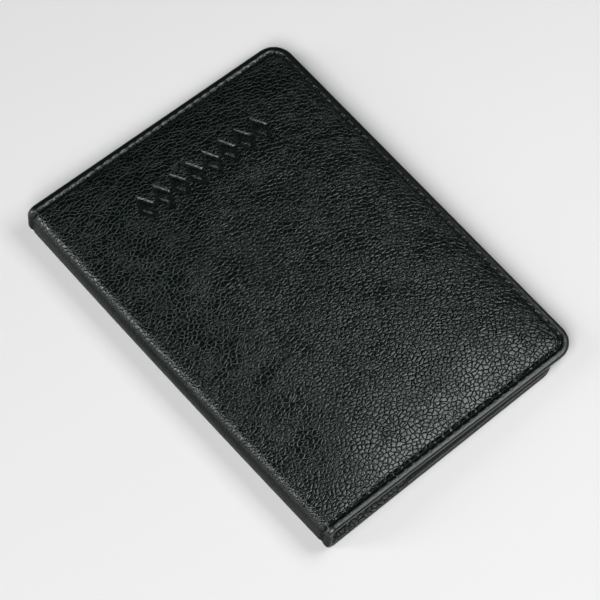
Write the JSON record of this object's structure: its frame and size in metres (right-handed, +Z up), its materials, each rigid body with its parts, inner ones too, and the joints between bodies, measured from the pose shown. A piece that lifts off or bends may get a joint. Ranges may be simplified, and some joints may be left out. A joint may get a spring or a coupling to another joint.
{
  "type": "passport holder",
  "caption": "Closed leather book-style passport holder with a boxed spine, stitched edges, a sleeve inside each cover and card pockets.",
  "frame": {"origin": "on the surface the closed holder lies on, under the middle of its outer box", "axes": "+X from the spine to the fore edge, +Y along the spine towards the head, +Z up out of the front cover"},
  "size_m": [0.1016, 0.1396, 0.0122],
  "materials": {
    "outer_leather": "semi-gloss pebble grain, black",
    "inner_leather": "satin fine grain, black",
    "lining": "matt black woven lining",
    "board": "bonded leather fibre board, unfinished",
    "thread": "black waxed polyester thread"
  },
  "bodies": {
    "rear_cover": {"rear_cover_leather": "outer_leather", "rear_cover_board": "board", "rear_cover_lining": "lining", "rear_passport_sleeve": "inner_leather", "rear_edge_thread": "thread", "rear_bobbin_thread": "thread", "rear_sleeve_hem_thread": "thread"},
    "spine": {"spine_leather": "outer_leather", "spine_board": "board", "spine_lining": "lining", "spine_head_thread": "thread", "spine_head_bobbin_thread": "thread", "spine_tail_thread": "thread", "spine_tail_bobbin_thread": "thread"},
    "front_cover": {"front_cover_leather": "outer_leather", "front_cover_board": "board", "front_cover_lining": "lining", "front_passport_sleeve": "inner_leather", "front_edge_thread": "thread", "front_bobbin_thread": "thread", "front_sleeve_hem_thread": "thread", "upper_card_pocket": "inner_leather", "upper_card_hem_thread": "thread", "lower_card_pocket": "inner_leather", "lower_card_hem_thread": "thread", "card_seam_thread": "thread"}
  },
  "joints": [
    {"name": "rear_fold", "type": "hinge", "parent": "rear_cover", "child": "spine", "pos_m": [-0.05016, 0, 0.00064], "axis": [0, -1, 0], "range_deg": [0, 90]},
    {"name": "front_fold", "type": "hinge", "parent": "spine", "child": "front_cover", "pos_m": [-0.0501, 0, 0.01166], "axis": [0, -1, 0], "range_deg": [0, 93.49]}
  ]
}
